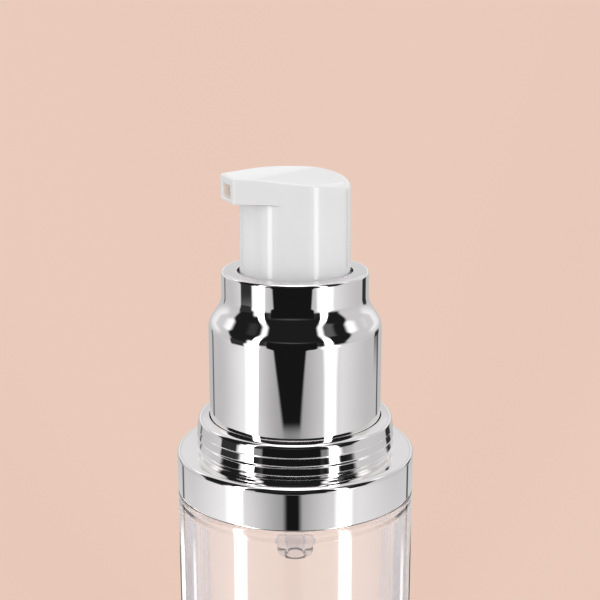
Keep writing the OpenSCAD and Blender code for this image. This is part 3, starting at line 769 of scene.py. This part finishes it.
# %% Outlet valve
INSERT_SIZE = (3.62, 1.97)
RECESS_SIZE = (3.4, 1.75)
SLIT_SIZE = (3.0, 0.9)
insert_rows = [(TIP_X + 0.1, -0.04), (TIP_X + 0.15, 0.0), (CHANNEL_X, 0.0)]
recess_rows = [(TIP_X, 0.06), (TIP_X + 0.12, 0.05), (TIP_X + 0.2, 0.0), (-9.7, 0.0)]
slit_rows = [(-10.0, -0.36), (-7.4, -0.36)]
valve = link("outlet_valve_insert", window_mesh(*INSERT_SIZE, MOUTH_Z, insert_rows))
valve = cut(valve, link("valve_mouth", window_mesh(*RECESS_SIZE, MOUTH_Z, recess_rows)))
valve = cut(valve, link("valve_slit", window_mesh(*SLIT_SIZE, MOUTH_Z, slit_rows)))
dress_cut(valve, "outlet_beige")
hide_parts("outlet_valve")
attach(valve, "head")

# %% [markdown]
# ## The return spring
# The spring is wound from steel wire on a coiling machine. The last turn at each end lies flat on the one
# before, so that it stands level. The node group makes the wire's middle line by a rule and sweeps a
# round section along it.

# %% Return spring
SPRING_STEPS = 360


def spring_group():
    tree, net, inp, out = group("coil_spring", "GeometryNodeTree", [
        ("Geometry", "NodeSocketGeometry", None), ("Turns", "NodeSocketFloat", 6.0),
        ("Radius", "NodeSocketFloat", 0.0034), ("Wire radius", "NodeSocketFloat", 0.00035),
        ("Low", "NodeSocketFloat", 0.0), ("High", "NodeSocketFloat", 0.01),
        ("Material", "NodeSocketMaterial", None)],
        [("Geometry", "NodeSocketGeometry")])
    line = net.add("GeometryNodeMeshLine", {"Count": SPRING_STEPS + 1})
    index = net.add("GeometryNodeInputIndex").outputs[0]
    share = net.math("DIVIDE", index, float(SPRING_STEPS))
    angle = net.math("MULTIPLY", net.math("MULTIPLY", share, inp.outputs["Turns"]), math.tau)
    rise = net.ramp(share, 0.11, 0.89)
    straight = net.add("ShaderNodeMapRange", {0: share, 1: 0.14, 2: 0.86, 3: 0.0, 4: 1.0}).outputs[0]
    even = net.math("ADD", net.math("MULTIPLY", rise, 0.35), net.math("MULTIPLY", straight, 0.65))
    wire = inp.outputs["Wire radius"]
    flat = net.math("MULTIPLY", net.math("SUBTRACT", share, 0.5), net.math("MULTIPLY", wire, 4.6))
    middle = net.math("MULTIPLY", net.math("ADD", inp.outputs["Low"], inp.outputs["High"]), 0.5)
    tall = net.math("SUBTRACT", net.math("SUBTRACT", inp.outputs["High"], inp.outputs["Low"]),
                    net.math("MULTIPLY", wire, 6.7))
    height = net.math("ADD", net.math("ADD", middle, flat),
                      net.math("MULTIPLY", net.math("SUBTRACT", even, 0.5), tall))
    x = net.math("MULTIPLY", net.math("COSINE", angle), inp.outputs["Radius"])
    y = net.math("MULTIPLY", net.math("SINE", angle), inp.outputs["Radius"])
    place = net.add("ShaderNodeCombineXYZ", {0: x, 1: y, 2: height})
    moved = net.add("GeometryNodeSetPosition", {"Geometry": line.outputs[0], "Position": place.outputs[0]})
    curve = net.add("GeometryNodeMeshToCurve", {"Mesh": moved.outputs[0]})
    section = net.add("GeometryNodeCurvePrimitiveCircle", {"Resolution": 16, "Radius": wire})
    swept = net.add("GeometryNodeCurveToMesh", {
        "Curve": curve.outputs[0], "Profile Curve": section.outputs[0], "Fill Caps": True})
    smooth = net.add("GeometryNodeSetShadeSmooth", {"Geometry": swept.outputs[0]})
    real = net.add("GeometryNodeRealizeInstances", {"Geometry": smooth.outputs[0]})
    painted = net.add("GeometryNodeSetMaterial", {"Geometry": real.outputs[0],
                                                  "Material": inp.outputs["Material"]})
    net.put(out.inputs[0], painted.outputs[0])
    return tree


spring = run_nodes("return_spring_coil", spring_group(), [(0.0, 0.0, 0.0)], {
    "Turns": 8.0, "Radius": 3.45 * MM, "Wire radius": 0.35 * MM, "Low": 91.15 * MM, "High": 102.05 * MM,
    "Material": FINISH["steel"]})
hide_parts("return_spring")
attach(spring, "pump")
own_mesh(spring)

# %% [markdown]
# ## The pieces that keep their CAD shape
# The inner pieces work inside the pump and are already drawn at full detail. They only get their finish
# here.

# %% Finishes on CAD pieces
KEPT = {
    "base_plug": "natural_plastic", "pump_housing": "natural_plastic",
    "ball_cage": "natural_plastic", "follower_piston": "follower_plastic", "pump_piston": "follower_plastic",
    "housing_gasket": "seal_rubber", "stem_wiper": "seal_rubber", "guide_bush": "inner_white",
    "closure": "inner_white", "piston_rod": "inner_white", "stem": "inner_white", "spring_cup": "inner_white",
    "inlet_ball": "steel", "outlet_ball": "steel",
}
for node, slot_name in KEPT.items():
    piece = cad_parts[node]
    piece.data.materials.clear()
    piece.data.materials.append(FINISH[slot_name])
    print(node, len(piece.data.polygons), "faces")

# %% [markdown]
# ## The studio
# The photograph was lit evenly, with two tall strip lights whose mirror images stand left and right on
# every round piece. The floor and backdrop are one pale peach. Metal shows what stands round it, so the
# world holds the strips, the dark gap between them where the camera stands, and grey walls, seen by
# mirrored light only.

# %% Studio world
STUDIO_TURN = math.radians(-21.0)
PEACH = (0.822, 0.596, 0.496, 1.0)
PALE = (0.93, 0.742, 0.663, 1.0)
DEGREES = 57.29578


def band_group():
    tree, net, inp, out = group("studio_card", "ShaderNodeTree", [
        ("Angle", "NodeSocketFloat", 0.0), ("Middle", "NodeSocketFloat", 0.0),
        ("Half width", "NodeSocketFloat", 10.0), ("Softness", "NodeSocketFloat", 2.0)],
        [("Mask", "NodeSocketFloat")])
    off = net.math("ABSOLUTE", net.math("SUBTRACT", inp.outputs[0], inp.outputs[1]))
    inside = net.math("SUBTRACT", inp.outputs[2], off)
    half = net.math("MULTIPLY", inp.outputs[3], 0.5)
    low = net.math("MULTIPLY", half, -1.0)
    net.put(out.inputs[0], net.ramp(inside, low, half))
    return tree


CARD = band_group()
world = bpy.data.worlds.new("studio")
bpy.context.scene.world = world
world.use_nodes = True
sky = Net(world.node_tree)
world.node_tree.nodes.clear()
direction = sky.add("ShaderNodeTexCoord").outputs["Generated"]
local = sky.add("ShaderNodeVectorRotate", {"Vector": direction, "Angle": -STUDIO_TURN},
                rotation_type="Z_AXIS")
axes = sky.add("ShaderNodeSeparateXYZ", {0: local.outputs[0]})
right = axes.outputs[0]
front = sky.math("MULTIPLY", axes.outputs[1], -1.0)
turn = sky.math("MULTIPLY", sky.math("ARCTAN2", right, front), DEGREES)
tilt = sky.math("MULTIPLY", sky.math("ARCSINE", axes.outputs[2]), DEGREES)


def card(angle, middle, half, soft):
    node = sky.add("ShaderNodeGroup", {0: angle, 1: middle, 2: half, 3: soft}, node_tree=CARD)
    return node.outputs[0]


def lay(base, mask, value):
    node = sky.add("ShaderNodeMix", {0: mask, 2: base, 3: value}, data_type="FLOAT")
    return node.outputs[0]


# Each card is (middle, half width, softness) across, the same upwards, and its brightness.
CARDS = [
    ((-72.0, 14.0, 70.0), (-50.0, 42.0, 8.0), 0.93),
    ((64.0, 14.0, 80.0), (-50.0, 42.0, 8.0), 0.82),
    ((-6.0, 20.0, 46.0), (-40.0, 60.0, 10.0), 0.30),
    ((-140.0, 2.5, 4.0), (-17.0, 9.0, 6.0), 0.10),
    ((141.0, 2.5, 3.0), (-17.0, 9.0, 6.0), 0.06),
    ((134.0, 6.0, 3.0), (-11.0, 5.0, 4.0), 0.03),
    ((-80.5, 11.5, 3.0), (-6.0, 9.0, 3.0), 0.03),
    ((-113.0, 8.0, 9.0), (30.0, 8.0, 10.0), 1.15),
    ((96.0, 8.0, 9.0), (37.0, 8.0, 10.0), 1.15),
    ((58.0, 8.0, 9.0), (45.0, 7.0, 8.0), 0.11),
    ((-72.0, 7.0, 9.0), (42.0, 6.0, 8.0), 0.035),
    ((-131.0, 9.0, 4.0), (-35.0, 9.5, 2.0), 0.45),
    ((124.0, 20.0, 4.0), (-35.0, 9.5, 2.0), 0.45),
    ((-148.0, 5.5, 3.0), (-35.0, 10.0, 2.0), 3.0),
    ((-116.5, 2.5, 2.0), (-35.0, 9.5, 2.0), 2.4),
    ((131.0, 3.5, 2.0), (-35.0, 9.5, 2.0), 1.8),
]
mirror = sky.math("MAXIMUM", sky.ramp(tilt, -25.0, -18.0, 0.66, 0.50),
                  sky.ramp(tilt, -35.0, 10.0, 0.48, 0.60))
behind = sky.math("SUBTRACT", 1.0, card(turn, 0.0, 118.0, 20.0))
mirror = lay(mirror, sky.math("MULTIPLY", behind, sky.ramp(tilt, -9.0, 8.0)),
             sky.math("ADD", sky.ramp(tilt, 8.0, 13.0, 0.88, 0.64), sky.ramp(tilt, 18.0, 21.0, 0.0, 0.11)))
dark = card(turn, -11.0, sky.ramp(tilt, 0.0, 30.0, 80.0, 97.0), 8.0)
mirror = lay(mirror, sky.math("MULTIPLY", dark, card(tilt, 30.0, 33.0, 8.0)), 0.012)
edge = sky.math("SUBTRACT", 1.0, card(turn, 0.0, 159.0, 5.0))
mirror = lay(mirror, sky.math("MULTIPLY", edge, card(tilt, -35.0, 10.0, 2.0)), 0.05)
for across, upward, value in CARDS:
    mirror = lay(mirror, sky.math("MULTIPLY", card(turn, *across), card(tilt, *upward)), value)
upper = sky.ramp(tilt, -15.2, -14.4, 0.0, 3.0)
wedge_middle = sky.math("ADD", sky.ramp(tilt, -24.0, -15.0, -2.3, -7.0), upper)
wedge_half = sky.math("ADD", sky.ramp(tilt, -23.5, -11.0, 7.5, 30.0), upper)
wedge = card(turn, wedge_middle, wedge_half, sky.ramp(tilt, -21.0, -16.0, 6.0, 3.0))
faded = sky.math("MULTIPLY", card(tilt, -21.05, 1.0, 0.7), 0.8)
wedge = sky.math("MULTIPLY", wedge, sky.math("SUBTRACT", 1.0, faded))
mirror = lay(mirror, sky.math("MULTIPLY", wedge, card(tilt, -10.0, 30.0, 10.0)), 0.008)
mirror = lay(mirror, sky.ramp(tilt, 66.0, 74.0), 2.0)
mirror = lay(mirror, card(tilt, -70.0, 26.0, 5.0), 0.06)
low_part = card(tilt, -45.0, 58.0, 10.0)
left_half = sky.math("MINIMUM", sky.ramp(tilt, -18.0, -13.0, 9.0, 11.0),
                     sky.ramp(tilt, -10.0, 0.0, 11.0, 6.5))
right_half = sky.math("MINIMUM", sky.ramp(tilt, -18.0, -13.0, 8.5, 14.0),
                      sky.ramp(tilt, -10.0, 0.0, 14.0, 5.5))
glow_left = card(turn, sky.ramp(tilt, -20.0, -13.0, -60.0, -58.0), left_half, 6.0)
glow_right = card(turn, sky.ramp(tilt, -10.0, 0.0, 47.5, 44.5), right_half, 6.0)
for glow_side in (glow_left, glow_right):
    mirror = lay(mirror, sky.math("MULTIPLY", glow_side, low_part), 1.15)
whole_part = card(tilt, 0.0, 62.0, 8.0)
core_half = sky.math("ADD", sky.ramp(tilt, 15.0, 45.0, 5.0, 4.5), sky.ramp(tilt, -25.1, -24.7, 2.0, 0.0))
core_shift = sky.ramp(tilt, -25.1, -24.7, 1.0, 0.0)
core_soft = sky.ramp(tilt, 15.0, 45.0, 2.0, 7.0)
core_light = sky.math("MINIMUM", sky.ramp(tilt, -25.0, -14.0, 20.0, 5.5),
                      sky.ramp(tilt, 15.0, 40.0, 5.5, 1.2))
left_middle = sky.math("MULTIPLY_ADD", core_shift, 3.5, sky.ramp(tilt, -27.0, -10.0, -57.5, -52.5))
core_left = card(turn, left_middle, core_half, core_soft)
core_right = card(turn, sky.ramp(tilt, -27.0, -10.0, 49.2, 44.5), core_half, core_soft)
for core_side in (core_left, core_right):
    mirror = lay(mirror, sky.math("MULTIPLY", core_side, whole_part), core_light)

seen = sky.add("ShaderNodeLightPath")
even = sky.ramp(tilt, -45.0, 55.0, 0.62, 1.20)
lit = lay(even, seen.outputs["Is Glossy Ray"], mirror)
grey = sky.add("ShaderNodeCombineColor", {0: lit, 1: lit, 2: lit})
shade = sky.mix(seen.outputs["Is Transmission Ray"], grey.outputs[0], PALE)
shade = sky.mix(seen.outputs["Is Camera Ray"], shade, PEACH)
ground = sky.add("ShaderNodeBackground", {"Color": shade, "Strength": 1.0})
sky.add("ShaderNodeOutputWorld", {"Surface": ground.outputs[0]})
print("studio cards", len(CARDS))

# %% [markdown]
# ## The floor
# One plain pale floor fills the picture, because the camera looks down on it. Part of its colour comes
# from the light that falls on it, so that the bottle keeps a soft shadow, and part is its own, so that it
# stays even. Light that passes through the clear walls sees the floor paler, as painted light, and sees two
# grey patches to the left and right behind the bottle, as painted shade that gives the thick walls grey edges.

# %% Floor
floor_mesh = bpy.data.meshes.new("floor")
FLOOR_HALF = 90.0
floor_mesh.from_pydata([(-FLOOR_HALF, -FLOOR_HALF, 0.0), (FLOOR_HALF, -FLOOR_HALF, 0.0),
                        (FLOOR_HALF, FLOOR_HALF, 0.0), (-FLOOR_HALF, FLOOR_HALF, 0.0)], [], [(0, 1, 2, 3)])
floor = link("floor", floor_mesh)
floor_look = bpy.data.materials.new("floor_peach")
floor_look.use_nodes = True
ground_net = Net(floor_look.node_tree)
floor_look.node_tree.nodes.clear()
spot = ground_net.add("ShaderNodeTexCoord").outputs["Object"]
way = ground_net.add("ShaderNodeVectorMath", {0: spot}, operation="NORMALIZE").outputs[0]
cloud = ground_net.add("ShaderNodeTexNoise", {"Vector": way, "Scale": 1.3, "Detail": 1.0})
tone = ground_net.mix(ground_net.ramp(cloud.outputs[0], 0.3, 0.7), (0.750, 0.538, 0.450, 1.0),
                      (0.785, 0.573, 0.477, 1.0))
look = ground_net.add("ShaderNodeLightPath")
# Grey painted on the floor and seen only through the clear walls: painted shade on the thick walls' edges.
PAINTED_SHADE_GREY = (0.74, 0.67, 0.69, 1.0)
floor_turn = ground_net.add("ShaderNodeVectorRotate", {"Vector": way, "Angle": -STUDIO_TURN},
                            rotation_type="Z_AXIS")
floor_axes = ground_net.add("ShaderNodeSeparateXYZ", {0: floor_turn.outputs[0]})
aside = ground_net.math("ABSOLUTE", floor_axes.outputs[0])
behind_it = ground_net.ramp(floor_axes.outputs[1], 0.1, 0.3)
painted_shade_mask = ground_net.math("MULTIPLY", ground_net.ramp(aside, 0.50, 0.62), behind_it)
# What the clear walls see of the floor: a paler tone (painted light) with the grey patches (painted shade).
pale = ground_net.mix(painted_shade_mask, PALE, PAINTED_SHADE_GREY)
tone = ground_net.mix(look.outputs["Is Transmission Ray"], tone, pale)
glow = ground_net.add("ShaderNodeEmission", {"Color": tone, "Strength": 1.0})
paint = ground_net.add("ShaderNodeBsdfDiffuse", {"Color": tone})
plain = ground_net.add("ShaderNodeBsdfDiffuse", {"Color": (0.80, 0.79, 0.78, 1.0)})
half_lit = ground_net.add("ShaderNodeMixShader", {0: 0.4, 1: glow.outputs[0], 2: paint.outputs[0]})
shown = ground_net.math("MAXIMUM", look.outputs["Is Camera Ray"], look.outputs["Is Transmission Ray"])
both = ground_net.add("ShaderNodeMixShader", {0: shown, 1: plain.outputs[0], 2: half_lit.outputs[0]})
ground_net.add("ShaderNodeOutputMaterial", {"Surface": both.outputs[0]})
floor_mesh.materials.append(floor_look)
floor.visible_glossy = False

# %% [markdown]
# ## The camera
# The camera stands where the photograph was taken from, as far as a fit to the ellipses of the ring, the
# collar and the bottle can tell.

# %% Camera
lens = bpy.data.cameras.new("camera")
lens.lens = 72.0
lens.sensor_width = 36.0
camera = bpy.data.objects.new("camera", lens)
bpy.context.scene.collection.objects.link(camera)
camera.location = (-0.06316, -0.16663, 0.1386)
camera.rotation_euler = (math.radians(76.1), 0.0, STUDIO_TURN)
lens.clip_start = 0.001
bpy.context.scene.camera = camera
bpy.context.scene.view_settings.view_transform = "Standard"
